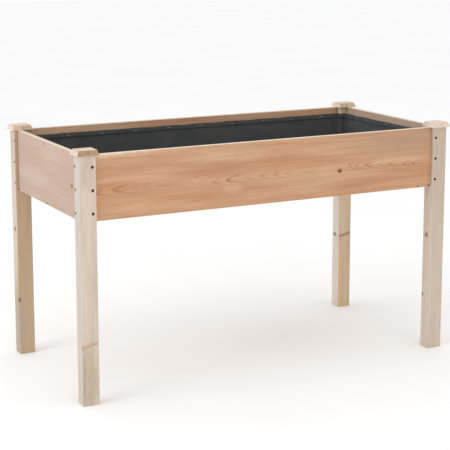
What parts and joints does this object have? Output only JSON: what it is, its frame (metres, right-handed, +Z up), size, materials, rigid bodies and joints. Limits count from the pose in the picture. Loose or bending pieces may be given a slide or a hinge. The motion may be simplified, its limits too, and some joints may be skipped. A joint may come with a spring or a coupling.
{
  "type": "raised planter on legs",
  "caption": "Rectangular wooden planting bed on straight legs, with grooved side boards, bevelled post caps, a slatted floor and a fabric liner.",
  "frame": {"origin": "centre of the footprint, on the floor that the legs stand on", "axes": "+X along the long side to the viewer's right, +Y from the front board to the rear board, +Z up"},
  "size_m": [1.218, 0.588, 0.7133],
  "materials": {
    "leg_wood": "pale planed softwood, unfinished",
    "cap_wood": "pale planed softwood, darker end grain on the slopes",
    "long_board_wood": "warm orange-tan planed softwood",
    "end_board_wood": "pinkish beige planed softwood",
    "batten_wood": "sawn softwood",
    "screw_steel": "bronzed countersunk screw",
    "brad_steel": "dull bronzed brad",
    "liner_fabric": "charcoal needle-punched cloth"
  },
  "bodies": {
    "root": {"post_front_left": "leg_wood", "post_front_right": "leg_wood", "post_rear_right": "leg_wood", "post_rear_left": "leg_wood", "cap_front_left": "cap_wood", "cap_front_right": "cap_wood", "cap_rear_right": "cap_wood", "cap_rear_left": "cap_wood", "panel_front": "long_board_wood", "panel_rear": "long_board_wood", "panel_left": "end_board_wood", "panel_right": "end_board_wood", "ledger_front": "batten_wood", "ledger_rear": "batten_wood", "ledger_left": "batten_wood", "ledger_right": "batten_wood", "slat_1": "batten_wood", "slat_2": "batten_wood", "slat_3": "batten_wood", "slat_4": "batten_wood", "slat_5": "batten_wood", "slat_6": "batten_wood", "slat_7": "batten_wood", "slat_8": "batten_wood", "slat_9": "batten_wood", "bed_liner": "liner_fabric", "screw_front_left_long_1": "screw_steel", "screw_front_left_long_2": "screw_steel", "screw_front_left_long_3": "screw_steel", "screw_front_left_end_1": "screw_steel", "screw_front_left_end_2": "screw_steel", "screw_front_left_end_3": "screw_steel", "screw_front_right_long_1": "screw_steel", "screw_front_right_long_2": "screw_steel", "screw_front_right_long_3": "screw_steel", "screw_front_right_end_1": "screw_steel", "screw_front_right_end_2": "screw_steel", "screw_front_right_end_3": "screw_steel", "screw_rear_right_long_1": "screw_steel", "screw_rear_right_long_2": "screw_steel", "screw_rear_right_long_3": "screw_steel", "screw_rear_right_end_1": "screw_steel", "screw_rear_right_end_2": "screw_steel", "screw_rear_right_end_3": "screw_steel", "screw_rear_left_long_1": "screw_steel", "screw_rear_left_long_2": "screw_steel", "screw_rear_left_long_3": "screw_steel", "screw_rear_left_end_1": "screw_steel", "screw_rear_left_end_2": "screw_steel", "screw_rear_left_end_3": "screw_steel", "brad_front_left_front": "brad_steel", "brad_front_left_rear": "brad_steel", "brad_front_right_front": "brad_steel", "brad_front_right_rear": "brad_steel", "brad_rear_right_front": "brad_steel", "brad_rear_right_rear": "brad_steel", "brad_rear_left_front": "brad_steel", "brad_rear_left_rear": "brad_steel"}
  },
  "joints": []
}
